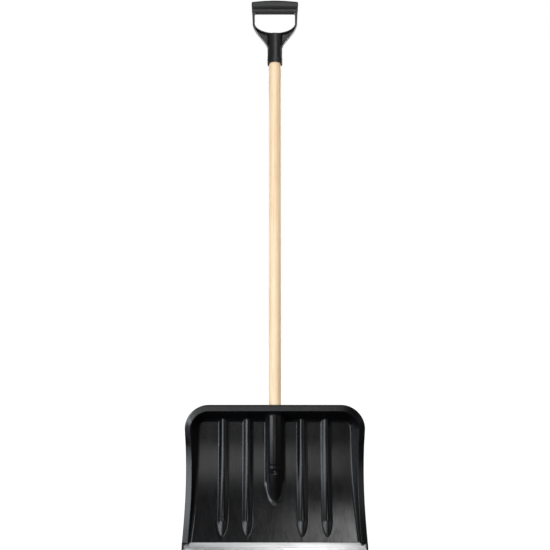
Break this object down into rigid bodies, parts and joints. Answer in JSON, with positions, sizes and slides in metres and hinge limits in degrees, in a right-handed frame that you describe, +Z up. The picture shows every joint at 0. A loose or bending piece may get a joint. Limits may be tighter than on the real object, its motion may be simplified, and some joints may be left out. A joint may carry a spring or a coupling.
{
  "type": "snow shovel",
  "caption": "Hand snow shovel: wide ribbed plastic scoop with an aluminium edge strip, a straight round wooden stem and a plastic D-grip.",
  "frame": {"origin": "centre of the shovel's footprint, on the level of the edge strip's foot", "axes": "+Z up along the stem, -Y the way the scoop opens, +X to the viewer's right when looking into the scoop"},
  "size_m": [0.5, 0.124, 1.498],
  "materials": {
    "scoop_plastic": "satin black moulded plastic",
    "grip_plastic": "satin black moulded plastic",
    "stem_wood": "sanded pale birch",
    "strip_aluminium": "mill finish extrusion",
    "screw_steel": "black oxide"
  },
  "bodies": {
    "root": {"scoop": "scoop_plastic", "edge_strip": "strip_aluminium", "stem": "stem_wood", "grip": "grip_plastic", "socket_screw": "screw_steel", "grip_screw": "screw_steel"}
  },
  "joints": []
}
